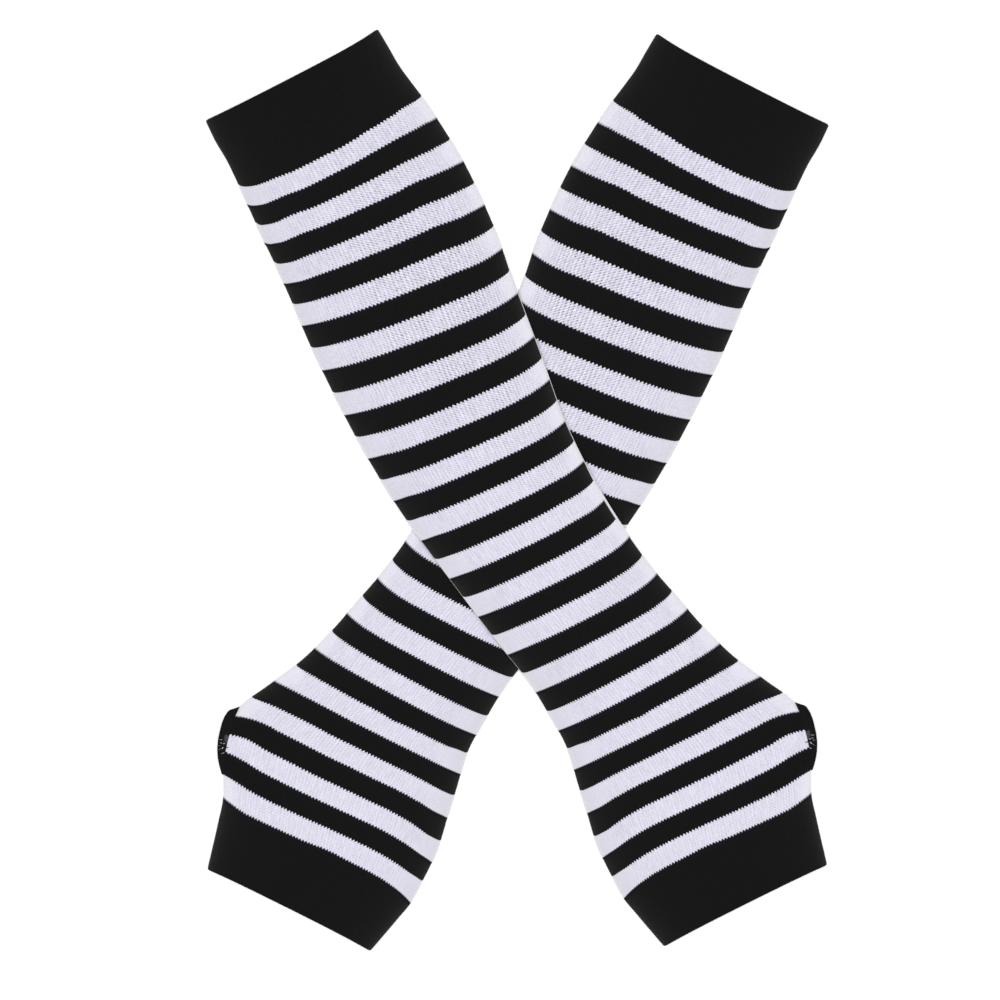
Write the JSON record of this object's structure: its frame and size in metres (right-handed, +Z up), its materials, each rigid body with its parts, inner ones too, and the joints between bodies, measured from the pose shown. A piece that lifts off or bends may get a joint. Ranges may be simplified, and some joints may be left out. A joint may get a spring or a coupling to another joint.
{
  "type": "pair of knitted arm warmers",
  "caption": "Pair of striped, fingerless knitted arm warmers with thumb holes, laid flat and crossed in an X.",
  "frame": {"origin": "centre of the pair's outline, on the plane it lies on", "axes": "+Z up from the surface, +Y towards the elbow ends, +X to the side where the over warmer's hand lies"},
  "size_m": [0.2242, 0.3314, 0.0055],
  "materials": {
    "striped_knit": "fine matte knit in black and off-white stripes",
    "welt_knit": "fine matte black knit, turned double",
    "cuff_knit": "fine matte black knit, firm",
    "edging_knit": "matte black overlocked edging"
  },
  "bodies": {
    "root": {"over_elbow_welt": "welt_knit", "over_arm_tube": "striped_knit", "over_thumb_edging": "edging_knit", "over_hand_cuff": "cuff_knit", "under_elbow_welt": "welt_knit", "under_arm_tube": "striped_knit", "under_thumb_edging": "edging_knit", "under_hand_cuff": "cuff_knit"}
  },
  "joints": []
}
